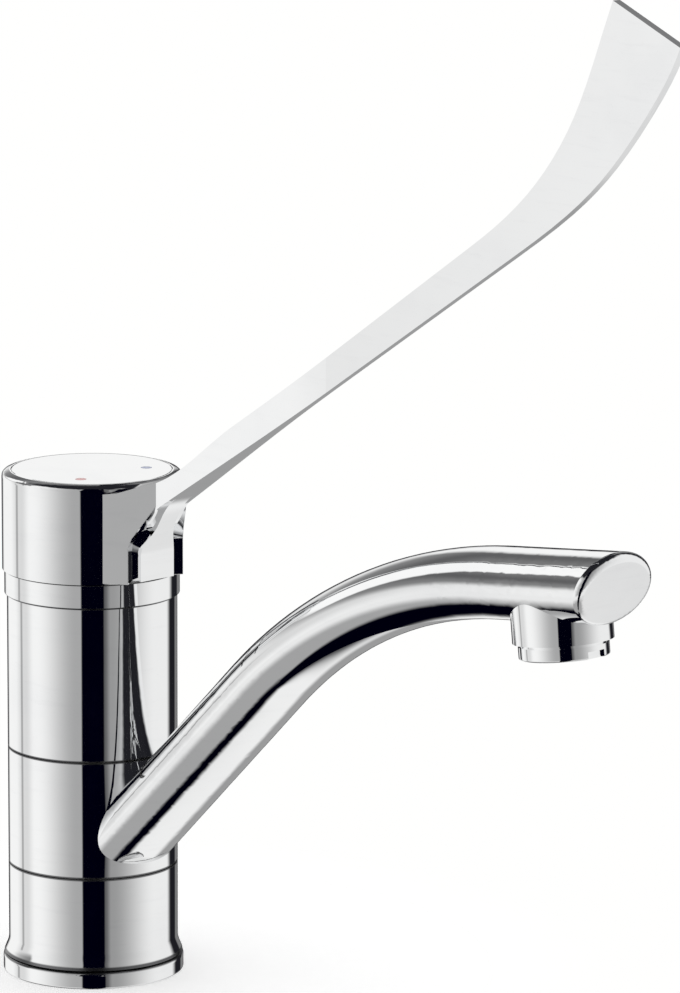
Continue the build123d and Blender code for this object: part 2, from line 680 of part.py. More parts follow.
spool_r = shell_in - FIT
spool_port_z = PORT_Z - LIFT_TRAVEL
spool_foot = spool_port_z - SPOOL_PORT_UP
spool_top = spool_foot + SPOOL_LEN
stem_top = ball_z - BALL_R - NECK_GAP
spool_seal_r = shell_in - SEAT - SMALL_SEAL
spool_seal_spots = (spool_foot + SPOOL_SEAL_IN, spool_top - SPOOL_SEAL_IN)
with BuildPart() as spool:
    add(ring_section(0, spool_r, spool_foot, spool_top))
    revolve(axis=Axis.Z)
    for seal_z in spool_seal_spots:
        add(ring_section(spool_seal_r - SMALL_SEAL - SEAT, shell_in, seal_z - SMALL_SEAL - SEAT,
                         seal_z + SMALL_SEAL + SEAT))
        revolve(axis=Axis.Z, mode=Mode.SUBTRACT)
    with BuildSketch(Plane.XY.offset(spool_foot)):
        Circle(SPOOL_BORE_R)
    extrude(amount=SPOOL_PORT_UP + PORT_R + OVER, mode=Mode.SUBTRACT)
    add(port_bars(spool_port_z), mode=Mode.SUBTRACT)
    with BuildSketch(Plane.XY.offset(spool_top)):
        Circle(STEM_R)
    extrude(amount=stem_top - spool_top)
    with BuildSketch(Plane.XY.offset(stem_top - FLAT_H)):
        with Locations((0, STEM_FLAT + STEM_R / 2), (0, -STEM_FLAT - STEM_R / 2)):
            Rectangle(2 * STEM_R, STEM_R)
    extrude(amount=FLAT_H, mode=Mode.SUBTRACT)
    with BuildSketch(Plane.XY.offset(stem_top - TENON_H - SEAT)):
        Circle(TENON_R + SEAT)
    extrude(amount=TENON_H + OVER, mode=Mode.SUBTRACT)
with BuildPart() as spool_seals:
    for seal_z in spool_seal_spots:
        add(seal_ring(spool_seal_r, seal_z, SMALL_SEAL))

with BuildPart() as stem_ball:
    with Locations((0, 0, ball_z)):
        Sphere(BALL_R)
    with BuildSketch(Plane.XY.offset(stem_top - TENON_H)):
        Circle(TENON_R)
    extrude(amount=TENON_H + NECK_GAP + BALL_R / 2)

# Nut over the valve, with the stem's seal inside it
stem_seal_z = nut_floor + NUT_H_IN / 2
stem_seal_r = STEM_R + SEAT + SMALL_SEAL
with BuildPart() as cartridge_nut:
    with BuildSketch(Plane.XY.offset(nut_floor)):
        Circle(NUT_R)
    extrude(amount=NUT_DEPTH - RUN_GAP)
    with BuildSketch(Plane.XY.offset(nut_floor)):
        Circle(STEM_R + FIT)
    extrude(amount=NUT_DEPTH, mode=Mode.SUBTRACT)
    add(ring_section(STEM_R, stem_seal_r + SMALL_SEAL + SEAT, stem_seal_z - SMALL_SEAL - SEAT,
                     stem_seal_z + SMALL_SEAL + SEAT))
    revolve(axis=Axis.Z, mode=Mode.SUBTRACT)
    with BuildSketch(Plane.XY.offset(neck_top - RUN_GAP)):
        with PolarLocations(NUT_R - KEY_SLOT_L / 2, 4):
            Rectangle(KEY_SLOT_L, KEY_SLOT_W)
    extrude(amount=-KEY_SLOT_H, mode=Mode.SUBTRACT)
with BuildPart() as stem_seal:
    add(seal_ring(stem_seal_r, stem_seal_z, SMALL_SEAL))

# Turning ring under the cap, with two ears for the hinge pin
ledge_z = ring_z + LEDGE_H
hinge_plane = Plane(origin=(0, HINGE_Y, hinge_z), x_dir=(0, 1, 0), z_dir=(1, 0, 0))
ring_in = NECK_R + FIT
with BuildPart() as turning_ring:
    add(ring_section(ring_in, RING_R, ring_z, ledge_z))
    revolve(axis=Axis.Z)
    add(ring_section(DOME_R + SEAT, RING_R, ring_z, ring_top))
    revolve(axis=Axis.Z)
    add(arc_band(SNAP_OUT_R + RUN_GAP, DOME_R + OVER, ledge_z - OVER, ring_top, EAR_BAND))
    with BuildSketch(Plane.XY.offset(ring_top - OVER)):
        with Locations(((EAR_IN + EAR_OUT) / 2, EAR_MID_Y), (-(EAR_IN + EAR_OUT) / 2, EAR_MID_Y)):
            Rectangle(EAR_OUT - EAR_IN, EAR_L)
    extrude(amount=hinge_z + EAR_UP - ring_top + OVER)
    add(ring_section(0, SNAP_OUT_R + RUN_GAP, ledge_z, neck_top + RUN_GAP))
    revolve(axis=Axis.Z, mode=Mode.SUBTRACT)
    with BuildSketch(hinge_plane.offset(-EAR_OUT)):
        Circle(HINGE_PIN_R + FIT)
    extrude(amount=2 * EAR_OUT, mode=Mode.SUBTRACT)
    groove_r = TURN_PIN_R + RUN_GAP
    add(
        arc_band(TURN_PIN_Y - groove_r, TURN_PIN_Y + groove_r, ring_z - OVER, turn_pin_top + RUN_GAP,
                 pin_sweep(TURN, TURN_PIN_R, TURN_PIN_Y)),
        mode=Mode.SUBTRACT,
    )

# Open snap ring that keeps the turning ring down
with BuildPart() as retaining_ring:
    with BuildSketch(Plane.XY.offset(snap_z)):
        Circle(SNAP_OUT_R)
        Circle(SNAP_OUT_R - SNAP_W, mode=Mode.SUBTRACT)
        with Locations((0, -SNAP_OUT_R)):
            Rectangle(SNAP_OPENING, 2 * SNAP_W + OVER, mode=Mode.SUBTRACT)
    extrude(amount=SNAP_T)

# Dome that closes the space under the cap, open at the back for the hinge
dome_side_top = cap_z + DOME_SIDE
dome_top = dome_side_top + DOME_RISE
with BuildPart() as dome_cover:
    with BuildSketch(Plane.XZ):
        with BuildLine():
            Line((DOME_R - DOME_T, ledge_z + SEAT), (DOME_R, ledge_z + SEAT))
            Line((DOME_R, ledge_z + SEAT), (DOME_R, dome_side_top))
            Spline((DOME_R, dome_side_top), (DOME_HOLE_R, dome_top), tangents=[(0, 1), (-1, DOME_CREST)])
            Line((DOME_HOLE_R, dome_top), (DOME_HOLE_R, dome_top - DOME_T))
            Spline(
                (DOME_HOLE_R, dome_top - DOME_T),
                (DOME_R - DOME_T, dome_side_top),
                tangents=[(1, -DOME_CREST), (0, -1)],
            )
            Line((DOME_R - DOME_T, dome_side_top), (DOME_R - DOME_T, ledge_z + SEAT))
        make_face()
    revolve(axis=Axis.Z)
    with BuildSketch(Plane.XY.offset(ledge_z)):
        with Locations((0, DOME_BACK + DOME_R)):
            Rectangle(2 * DOME_R, 2 * DOME_R)
    extrude(amount=dome_top - ledge_z, mode=Mode.SUBTRACT)

# Hinge pin of the lever
with BuildPart() as lift_pin:
    with BuildSketch(hinge_plane.offset(-EAR_OUT)):
        Circle(HINGE_PIN_R)
    extrude(amount=2 * EAR_OUT)

# Handle: cap and lever blade in one
cap_in = CAP_R - CAP_WALL
roof_z = cap_top - LID_T - ROOF_T
lid_z = cap_top - LID_T
straight_dir = (-cos(radians(BLADE_SLOPE)), sin(radians(BLADE_SLOPE)))
low_dir = (cos(radians(BLADE_LOW_SLOPE)), -sin(radians(BLADE_LOW_SLOPE)))
tip_dir = (-cos(radians(TIP_SLOPE)), sin(radians(TIP_SLOPE)))
tip_low = (-LEVER_REACH, LEVER_TOP - TIP_W * cos(radians(TIP_SLOPE)))
tip_high = (-LEVER_REACH + TIP_W * sin(radians(TIP_SLOPE)), LEVER_TOP)
blade_end_y = -LEVER_REACH - OVER
cap_side = Plane(origin=(0, 0, cap_z), x_dir=(0, 1, 0), z_dir=(1, 0, 0))
cap_front = Plane(origin=(0, 0, cap_z), x_dir=(1, 0, 0), z_dir=(0, -1, 0))
with BuildPart() as blade:
    with BuildSketch(cap_side):
        with BuildLine():
            Polyline(
                BLADE_ROOT_LOW,
                (BLADE_BACK_Y, BLADE_ROOT_LOW[1]),
                (BLADE_BACK_Y, BLADE_ROOT_HIGH[1]),
                BLADE_ROOT_HIGH,
            )
            Spline(BLADE_ROOT_HIGH, BLADE_CREST, BLADE_HIGH_START, tangents=[(-1, BLADE_RISE), straight_dir])
            Line(BLADE_HIGH_START, BLADE_HIGH_END)
            Spline(BLADE_HIGH_END, *BLADE_HIGH_BEND, tip_high, tangents=[straight_dir, tip_dir])
            Line(tip_high, tip_low)
            Spline(tip_low, *BLADE_LOW_BEND, BLADE_LOW_END, tangents=[(-tip_dir[0], -tip_dir[1]), low_dir])
            Line(BLADE_LOW_END, BLADE_LOW_START)
            Spline(BLADE_LOW_START, BLADE_ROOT_LOW, tangents=[low_dir, (1, 0)])
        make_face()
    extrude(amount=CAP_R, both=True)
    with BuildSketch(Plane.XY.offset(cap_z)):
        with BuildLine():
            Line((0, 0), BLADE_PLAN_ROOT[0])
            Bezier(*BLADE_PLAN_ROOT)
            Bezier(*BLADE_PLAN_TAPER)
            Line(BLADE_PLAN_TAPER[-1], (BLADE_T / 2, blade_end_y))
            Line((BLADE_T / 2, blade_end_y), (0, blade_end_y))
            mirror(about=Plane.YZ)
        make_face()
    extrude(amount=LEVER_TOP + OVER, mode=Mode.INTERSECT)

# Tongue of the blade, which shows in the arch of the cap
tongue_tip = (TONGUE_REACH_Y, BLADE_LOW_START[1] + (TONGUE_REACH_Y - BLADE_LOW_START[0]) * low_dir[1] / low_dir[0])
with BuildPart() as tongue:
    with BuildSketch(cap_side):
        with BuildLine():
            Polyline(
                (TONGUE_FRONT_Y, TONGUE_BEND),
                (TONGUE_FRONT_Y, TONGUE_FOOT),
                (TONGUE_BACK_Y, TONGUE_FOOT),
                (TONGUE_BACK_Y, TONGUE_TOP),
                tongue_tip,
            )
            Spline(tongue_tip, *TONGUE_FRONT, (TONGUE_FRONT_Y, TONGUE_BEND), tangents=[low_dir, (0, -1)])
        make_face()
    extrude(amount=TONGUE_HALF, both=True)
    with BuildSketch(cap_front):
        with BuildLine():
            Polyline((0, tongue_tip[1]), (TONGUE_HALF_TOP, tongue_tip[1]), (TONGUE_HALF_TOP, TONGUE_WAIST))
            Spline(
                (TONGUE_HALF_TOP, TONGUE_WAIST),
                (TONGUE_HALF, TONGUE_BEND),
                tangents=[(0, -1), (0, -1)],
            )
            Polyline((TONGUE_HALF, TONGUE_BEND), (TONGUE_HALF, TONGUE_FOOT), (0, TONGUE_FOOT))
            mirror(about=Plane.YZ)
        make_face()
    extrude(amount=-TONGUE_REACH_Y, mode=Mode.INTERSECT)

with BuildPart() as cap_shape:
    with BuildSketch(Plane.XZ):
        with BuildLine():
            shoulder_low = (CAP_R, cap_top - SHOULDER_H)
            shoulder_high = (CAP_R - SHOULDER_IN, cap_top)
            Polyline(shoulder_high, (0, cap_top), (0, cap_z), (CAP_R, cap_z), shoulder_low)
            Spline(shoulder_low, shoulder_high, tangents=[(0, 1), (-1, SHOULDER_CREST)])
        make_face()
    revolve(axis=Axis.Z)

with BuildPart() as handle:
    add(cap_shape)
    add(blade)
    with BuildSketch(Plane.XY.offset(lid_z)):
        Circle(LID_R + LID_GAP)
    extrude(amount=LID_T, mode=Mode.SUBTRACT)
    with BuildSketch(Plane.XY.offset(cap_z)):
        Circle(cap_in)
    extrude(amount=roof_z - cap_z, mode=Mode.SUBTRACT)
    # arch under the blade, with the tongue in it
    with BuildSketch(Plane.XZ.offset(cap_in - NOTCH_CORNER)):
        with Locations((0, cap_z + NOTCH_H / 2)):
            RectangleRounded(2 * NOTCH_HALF, NOTCH_H, NOTCH_CORNER)
        with Locations((0, cap_z + NOTCH_CORNER / 2)):
            Rectangle(2 * NOTCH_HALF, NOTCH_CORNER)
    extrude(amount=CAP_R, mode=Mode.SUBTRACT)
    add(tongue)
    # hinge lug, and the back edge cut to let the cap tip back
    with BuildSketch(Plane.XY.offset(cap_z)):
        with Locations((0, (HINGE_Y + cap_in + OVER) / 2)):
            Rectangle(2 * LUG_HALF, cap_in + OVER - HINGE_Y)
    extrude(amount=HINGE_UP + HINGE_EYE_R)
    relief_rise = (CAP_R + OVER - RELIEF_Y) * sin(radians(CAP_RELIEF)) / cos(radians(CAP_RELIEF))
    with BuildSketch(Plane.YZ.offset(-CAP_R)):
        with BuildLine():
            Polyline(
                (RELIEF_Y, cap_z),
                (CAP_R + OVER, cap_z + relief_rise),
                (CAP_R + OVER, cap_z - OVER),
                (RELIEF_Y, cap_z - OVER),
                close=True,
            )
        make_face()
    extrude(amount=2 * CAP_R, mode=Mode.SUBTRACT)
    with BuildSketch(hinge_plane.offset(-LUG_HALF)):
        Circle(HINGE_EYE_R)
    extrude(amount=2 * LUG_HALF)
    with BuildSketch(hinge_plane.offset(-LUG_HALF)):
        Circle(HINGE_PIN_R + SEAT)
    extrude(amount=2 * LUG_HALF, mode=Mode.SUBTRACT)
    # countersunk holes for the screws of the yoke
    with Locations(*[(side * SCREW_X, SCREW_Y, lid_z) for side in (-1, 1)]):
        CounterSinkHole(SCREW_R + SEAT, SCREW_HEAD_R + SEAT, ROOF_T + OVER, SCREW_CONE)

# Lid, with a small round mark let in on each side
mark_spots = [on_circle(MARK_RING_R, side * MARK_ANGLE) for side in (-1, 1)]
with BuildPart() as lid:
    with BuildSketch(Plane.XY.offset(lid_z + SEAT)):
        Circle(LID_R)
    extrude(amount=LID_T - SEAT)
    chamfer(lid.edges().sort_by(Axis.Z)[-1], length=LID_EDGE)
    with BuildSketch(Plane.XY.offset(cap_top)):
        with Locations(*mark_spots):
            Circle(MARK_R + SEAT)
    extrude(amount=-MARK_T - SEAT, mode=Mode.SUBTRACT)


def lid_mark(spot):
    """Small inlaid disc."""
    with BuildPart() as mark:
        with BuildSketch(Plane.XY.offset(cap_top - MARK_T)):
            with Locations(spot):
                Circle(MARK_R)
        extrude(amount=MARK_T)
    return mark


hot_mark = lid_mark(mark_spots[0])
cold_mark = lid_mark(mark_spots[1])

# Yoke under the roof: a channel that takes the stem's ball
yoke_z = ball_z - YOKE_DOWN
with BuildPart() as yoke:
    with BuildSketch(Plane.XY.offset(yoke_z)):
        with Locations((0, YOKE_MID_Y)):
            RectangleRounded(2 * YOKE_HALF, YOKE_L, YOKE_CORNER)
    extrude(amount=roof_z - SEAT - yoke_z)
    with BuildSketch(Plane.XZ.offset(CAP_R)):
        with Locations((0, ball_z)):
            Circle(BALL_CHANNEL_R)
        with Locations((0, ball_z - YOKE_DOWN / 2)):
            Rectangle(2 * NECK_SLOT, YOKE_DOWN)
    extrude(amount=-2 * CAP_R, mode=Mode.SUBTRACT)
    with BuildSketch(Plane.XY.offset(roof_z)):
        with Locations(*[(side * SCREW_X, SCREW_Y) for side in (-1, 1)]):
            Circle(SCREW_R + THREAD_CLEAR)
    extrude(amount=-SCREW_IN, mode=Mode.SUBTRACT)
with BuildPart() as yoke_screws:
    for side in (-1, 1):
        with BuildSketch(Plane.XZ.offset(-SCREW_Y)):
            with BuildLine():
                Polyline(
                    (side * SCREW_X, lid_z - SEAT),
                    (side * (SCREW_X + SCREW_HEAD_R), lid_z - SEAT),
                    (side * (SCREW_X + SCREW_R), lid_z - SCREW_HEAD_R + SCREW_R - SEAT),
                    (side * (SCREW_X + SCREW_R), roof_z - SCREW_IN + OVER),
                    (side * SCREW_X, roof_z - SCREW_IN + OVER),
                    close=True,
                )
            make_face()
        revolve(axis=Axis((side * SCREW_X, SCREW_Y, 0), (0, 0, 1)))
        with BuildSketch(Plane.XY.offset(lid_z)):
            with Locations((side * SCREW_X, SCREW_Y)):
                RegularPolygon(SOCKET_R, 6)
        extrude(amount=-SOCKET_H, mode=Mode.SUBTRACT)

# Fixing under the basin: stud, two horseshoe washers and a nut
with BuildPart() as fixing_stud:
    with BuildSketch(Plane.XY.offset(-STUD_BELOW)):
        with Locations((0, stud_y)):
            Circle(STUD_R)
    extrude(amount=STUD_BELOW + STUD_IN - RUN_GAP)
    chamfer(fixing_stud.edges().sort_by(Axis.Z)[0], length=STUD_TIP)


def horseshoe(top, thick):
    """Washer round the stud, open to the front for the supply hoses."""
    with BuildPart() as shoe:
        with BuildSketch(Plane.XY.offset(top - thick)) as outline:
            Circle(SHOE_R)
            with Locations((0, -SHOE_R + SHOE_OPEN_Y)):
                RectangleRounded(2 * SHOE_OPEN_HALF, 2 * SHOE_R, SHOE_CORNER, mode=Mode.SUBTRACT)
            with Locations((0, stud_y)):
                Circle(STUD_R + RUN_GAP, mode=Mode.SUBTRACT)
        extrude(amount=thick)
    return shoe


rubber_horseshoe = horseshoe(-DECK_T, RUBBER_T)
steel_horseshoe = horseshoe(-DECK_T - RUBBER_T - SEAT, STEEL_T)
nut_top = -DECK_T - RUBBER_T - STEEL_T - 2 * SEAT
with BuildPart() as fixing_nut:
    with BuildSketch(Plane.XY.offset(nut_top - NUT_H)):
        with Locations((0, stud_y)):
            RegularPolygon(NUT_AF / 2, 6, major_radius=False)
    extrude(amount=NUT_H)
    with BuildSketch(Plane.XZ.offset(-stud_y)):
        with BuildLine():
            Polyline(
                (0, nut_top - NUT_H),
                (NUT_AF / 2, nut_top - NUT_H),
                (NUT_AF / 2 + NUT_CORNER, nut_top - NUT_H + NUT_CORNER / 2),
                (NUT_AF / 2 + NUT_CORNER, nut_top - NUT_CORNER / 2),
                (NUT_AF / 2, nut_top),
                (0, nut_top),
                close=True,
            )
        make_face()
    revolve(axis=Axis((0, stud_y, 0), (0, 0, 1)), mode=Mode.INTERSECT)
    with BuildSketch(Plane.XY.offset(nut_top)):
        with Locations((0, stud_y)):
            Circle(STUD_R + THREAD_CLEAR)
    extrude(amount=-NUT_H, mode=Mode.SUBTRACT)

pieces = {
    "body": body,
    "base_ring": base_ring,
    "base_gasket": base_gasket,
    "foot": foot,
    "lower_glide_bush": lower_glide_bush,
    "upper_glide_bush": upper_glide_bush,
    "spout_seals": spout_seals,
    "swivel_stop_pin": swivel_stop_pin,
    "turn_stop_pin": turn_stop_pin,
    "cartridge_shell": cartridge_shell,
    "shell_seals": shell_seals,
    "cartridge_nut": cartridge_nut,
    "stem_seal": stem_seal,
    "retaining_ring": retaining_ring,
    "fixing_stud": fixing_stud,
    "rubber_horseshoe": rubber_horseshoe,
    "steel_horseshoe": steel_horseshoe,
    "fixing_nut": fixing_nut,
    "spout": spout,
    "aerator_washer": aerator_washer,
    "aerator_insert": aerator_insert,
    "aerator_shell": aerator_shell,
    "turning_ring": turning_ring,
    "dome_cover": dome_cover,
    "handle": handle,
    "lid": lid,
    "hot_mark": hot_mark,
    "cold_mark": cold_mark,
    "lift_pin": lift_pin,
    "yoke": yoke,
    "yoke_screws": yoke_screws,
    "spool": spool,
    "spool_seals": spool_seals,
    "stem_ball": stem_ball,
}
os.makedirs("parts", exist_ok=True)
for name, piece in pieces.items():
    piece.part.label = name
    export_step(piece.part, f"parts/{name}.step")
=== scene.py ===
import json
from math import pi, radians

import bpy
from mathutils import Matrix, Vector


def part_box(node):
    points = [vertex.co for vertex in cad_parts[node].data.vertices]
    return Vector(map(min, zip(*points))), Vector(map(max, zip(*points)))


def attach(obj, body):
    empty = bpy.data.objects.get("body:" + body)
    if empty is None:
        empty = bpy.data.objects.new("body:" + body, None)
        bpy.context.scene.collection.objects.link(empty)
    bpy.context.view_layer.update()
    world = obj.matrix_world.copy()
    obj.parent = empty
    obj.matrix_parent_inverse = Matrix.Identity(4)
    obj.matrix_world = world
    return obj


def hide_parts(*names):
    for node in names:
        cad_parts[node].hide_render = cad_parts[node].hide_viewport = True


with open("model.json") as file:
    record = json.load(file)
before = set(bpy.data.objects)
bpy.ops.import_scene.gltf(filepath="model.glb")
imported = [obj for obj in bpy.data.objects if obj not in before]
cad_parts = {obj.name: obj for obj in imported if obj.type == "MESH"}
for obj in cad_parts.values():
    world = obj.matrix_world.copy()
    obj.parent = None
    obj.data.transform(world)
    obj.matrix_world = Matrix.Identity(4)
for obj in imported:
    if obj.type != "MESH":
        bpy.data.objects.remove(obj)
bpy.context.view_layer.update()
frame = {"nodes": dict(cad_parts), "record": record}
scene = bpy.context.scene


# Shader maths
class Sock:
    """A node's output that can be used in sums."""

    def __init__(self, tree, out):
        self.tree, self.out = tree, out

    def maths(self, operation, a, b=None, clamp=False):
        node = self.tree.nodes.new("ShaderNodeMath")
        node.operation, node.use_clamp = operation, clamp
        for i, value in enumerate((a, b)):
            if isinstance(value, Sock):
                self.tree.links.new(value.out, node.inputs[i])
            elif value is not None:
                node.inputs[i].default_value = value
        return Sock(self.tree, node.outputs[0])

    def __add__(self, other):
        return self.maths("ADD", self, other)

    def __radd__(self, other):
        return self.maths("ADD", other, self)

    def __sub__(self, other):
        return self.maths("SUBTRACT", self, other)

    def __rsub__(self, other):
        return self.maths("SUBTRACT", other, self)

    def __mul__(self, other):
        return self.maths("MULTIPLY", self, other)

    def __rmul__(self, other):
        return self.maths("MULTIPLY", other, self)

    def __abs__(self):
        return self.maths("ABSOLUTE", self)

    def limit(self):
        return self.maths("ADD", self, 0.0, clamp=True)

    def high(self, other):
        return self.maths("MAXIMUM", self, other)

    def low(self, other):
        return self.maths("MINIMUM", self, other)

    def power(self, other):
        return self.maths("POWER", self, other)

    def step(self, start, end):
        """0 before start, 1 after end, smooth between."""
        node = self.tree.nodes.new("ShaderNodeMapRange")
        node.interpolation_type = "SMOOTHSTEP"
        node.inputs["From Min"].default_value = start
        node.inputs["From Max"].default_value = end
        self.tree.links.new(self.out, node.inputs["Value"])
        return Sock(self.tree, node.outputs["Result"])


def between(value, start, end, soft):
    """1 from start to end, 0 outside, with soft ends."""
    return value.step(start - soft, start + soft) * (1 - value.step(end - soft, end + soft))


def blend(a, b, amount):
    """a where the amount is 0, b where it is 1."""
    return a + (b - a) * amount


NOISE_ROUGHNESS = 0.55


class Finish:
    """A material or a world, with its nodes."""

    def __init__(self, owner):
        owner.use_nodes = True
        self.owner, self.tree = owner, owner.node_tree
        self.tree.nodes.clear()

    def node(self, kind, settings=None, **inputs):
        """Make a node. Inputs go by name, with _ for a space, or by number, as _0."""
        node = self.tree.nodes.new(kind)
        for key, value in (settings or {}).items():
            setattr(node, key, value)
        for key, value in inputs.items():
            socket = node.inputs[int(key[1:])] if key[0] == "_" else node.inputs[key.replace("_", " ")]
            if isinstance(value, Sock):
                self.tree.links.new(value.out, socket)
            elif isinstance(value, bpy.types.NodeSocket):
                self.tree.links.new(value, socket)
            else:
                socket.default_value = value
        return node

    def out(self, node, name=0):
        return Sock(self.tree, node.outputs[name])

    def place(self):
        return self.out(self.node("ShaderNodeTexCoord"), "Object")

    def axes(self, at=None):
        split = self.node("ShaderNodeSeparateXYZ", Vector=at or self.place())
        return [self.out(split, i) for i in range(3)]

    def vector(self, x, y, z):
        return self.out(self.node("ShaderNodeCombineXYZ", X=x, Y=y, Z=z))

    def rgb(self, red, green, blue):
        return self.out(self.node("ShaderNodeCombineColor", Red=red, Green=green, Blue=blue))

    def mapped(self, at, **settings):
        return self.out(self.node("ShaderNodeMapping", {"vector_type": "POINT"}, Vector=at, **settings))

    def stretched(self, x, y, z):
        return self.mapped(self.place(), Scale=(x, y, z))

    def grain(self, scale, detail=3.0, at=None):
        noise = self.node("ShaderNodeTexNoise", Vector=at or self.place(), Scale=scale, Detail=detail,
                          Roughness=NOISE_ROUGHNESS)
        return self.out(noise, "Fac")

    def lathe_lines(self, x, y, z, per_metre):
        """Fine rings round the Z axis, as a lathe leaves them."""
        return self.grain(1.0, 3, self.vector(self.from_axis(x, y) * per_metre, z * per_metre, 0.0))

    def from_axis(self, x, y):
        """Distance from a line along Z."""
        return ((x * x) + (y * y)).power(0.5)

    def mix(self, colour, other, amount):
        """The colour, and the other one where the amount is 1."""
        node = self.node("ShaderNodeMix", {"data_type": "RGBA"}, Factor=amount, _6=colour, _7=other)
        return self.out(node, 2)

    def shade(self, low, high, amount):
        return self.mix((*low, 1), (*high, 1), amount)

    def bump(self, height, depth, normal=None):
        node = self.node("ShaderNodeBump", Height=height, Strength=1.0, Distance=depth)
        if normal:
            self.tree.links.new(normal.out, node.inputs["Normal"])
        return self.out(node)

    def surface(self, colour, roughness, normal, metallic=0.0, coat=0.0):
        node = self.node("ShaderNodeBsdfPrincipled", Base_Color=colour, Roughness=roughness,
                         Metallic=metallic, Coat_Weight=coat, Normal=normal)
        self.node("ShaderNodeOutputMaterial", Surface=node.outputs[0])
        return self.owner


# Camera
CAMERA_AT = Vector((-1.15475, -1.29614, 0.48632))
CAMERA_TURN = (11.4, -44.0, 0.22)       # degrees: tilt down, turn about Z, roll
SENSOR_HEIGHT, LENS = 36.0, 228.4       # millimetres
CLIP = (0.05, 60.0)


def studio_camera():
    data = bpy.data.cameras.new("camera")
    camera = bpy.data.objects.new("camera", data)
    scene.collection.objects.link(camera)
    tilt, turn, roll = (radians(a) for a in CAMERA_TURN)
    look = Matrix.Rotation(turn, 4, "Z") @ Matrix.Rotation(pi / 2 - tilt, 4, "X")
    look = look @ Matrix.Rotation(roll, 4, "Z")
    camera.matrix_world = Matrix.Translation(CAMERA_AT) @ look
    data.sensor_fit = "VERTICAL"
    data.sensor_height, data.lens = SENSOR_HEIGHT, LENS
    data.clip_start, data.clip_end = CLIP
    scene.camera = camera


# The room that the chrome mirrors. Names in SIDE are degrees to the right of the camera, names in RISE
# degrees above the horizon, and names in DIP degrees below it. A pair is where a soft change starts and
# ends, and three numbers are the two ends of a patch and its softness. The rest are brightnesses.
LEFT_NEAR, LEFT_GAIN, LEFT_LOSS = 0.40, 0.55, 0.22
LEFT_GAIN_SIDE, LEFT_LOSS_SIDE, LEFT_BACK_SIDE = (18, 80), (84, 100), (108, 126)
RIGHT_NEAR, RIGHT_GAIN, RIGHT_FAR_GAIN = 0.12, 0.20, 0.56
RIGHT_GAIN_SIDE, RIGHT_FAR_SIDE = (19, 27), (26, 96)
MIDDLE_SIDE = (-1, 1)
BEHIND_LEFT_SIDE, BEHIND_LEFT_RISE, BEHIND_LEFT_LOSS = (150, 163), (-45, 2, 4), 0.97
BEHIND_RIGHT_SIDE, BEHIND_RIGHT_LOSS = (122, 134), 0.985
FAINT_STRIP_SIDE, FAINT_STRIP = (152, 171, 3), 0.22
UPPER_LEFT_SIDE, UPPER_LEFT_RISE = (-92, -86), (2, 17)
UPPER_GREY, UPPER_GREY_LOSS, UPPER_DARK_RISE = 0.22, 0.10, (22, 34, 6)
BOX_SIDE, BOX_RISE = (-148, -118, 3), (12, 42, 3)
STRIP_SIDE, STRIP_RISE, STRIP = (-200, -171, 4), (3, 26, 5), 0.95
LID_LIGHT_SIDES, LID_LIGHT_RISE, LID_LIGHT = ((172, 178), (-178, -170)), (4, 20, 4), 0.93
CEILING_RISE, CEILING = (40, 55), 0.016
TABLE_DIP = (16, 24)
TABLE_FAR, TABLE_NEAR_GAIN, TABLE_FAR_DIP = 0.38, 0.48, (28, 50)
TABLE_DARK_SIDE, TABLE_DARK_DIP = (-125, -104), (30, 46)
TABLE_RIGHT, TABLE_RIGHT_LOSS, TABLE_RIGHT_SIDE = 0.78, 0.44, (112, 150)
TABLE_GLOW, TABLE_GLOW_DIP = 0.56, (38, 48)
TABLE_END_SIDE, TABLE_END_DIP, TABLE_END_LOSS = (160, 180), (40, 60), 0.9
TABLE_TURN_SIDE = (60, 100)
UNDER_TABLE_DIP = (78, 86)
SCREEN_SIDE, SCREEN_TOP_RISE, SCREEN_FOOT_RISE = (-12.4, 17.8, 1.2), (58, 66), (-80, -70)
SLIT_SIDE, SLIT_RISE, SLIT = (-112, -107.5, 1.2), (-30, 0, 3), 0.45


def walls(side, rise):
    """Walls that get lighter away from the camera, and are dark behind the tap."""
    to_left = side * -1
    loss = to_left.step(*LEFT_LOSS_SIDE) * (1 - to_left.step(*LEFT_BACK_SIDE))
    left = LEFT_NEAR + LEFT_GAIN * to_left.step(*LEFT_GAIN_SIDE) - LEFT_LOSS * loss
    right = (RIGHT_NEAR + RIGHT_GAIN * side.step(*RIGHT_GAIN_SIDE)
             + RIGHT_FAR_GAIN * side.step(*RIGHT_FAR_SIDE))
    behind_left = to_left.step(*BEHIND_LEFT_SIDE) * BEHIND_LEFT_LOSS * between(rise, *BEHIND_LEFT_RISE)
    behind_right = (1 - side.step(*BEHIND_RIGHT_SIDE) * BEHIND_RIGHT_LOSS
                    + between(side, *FAINT_STRIP_SIDE) * FAINT_STRIP)
    return blend(left, right, side.step(*MIDDLE_SIDE)) * (1 - behind_left) * behind_right.low(1)


def with_lights(bright, side, rise):
    """A bright box between greys, high on the left, and two bright strips beyond the tap."""
    upper_left = rise.step(*UPPER_LEFT_RISE) * (1 - side.step(*UPPER_LEFT_SIDE))
    upper_grey = UPPER_GREY - UPPER_GREY_LOSS * between(rise, *UPPER_DARK_RISE)
    box = between(side, *BOX_SIDE) * between(rise, *BOX_RISE)
    strip = between(side, *STRIP_SIDE) * between(rise, *STRIP_RISE) * STRIP
    first, last = LID_LIGHT_SIDES
    beyond = (side.step(*first) + (1 - side.step(*last))).limit()
    lid_light = beyond * between(rise, *LID_LIGHT_RISE) * LID_LIGHT
    return blend(bright, upper_grey, upper_left).high(box).high(strip).high(lid_light)


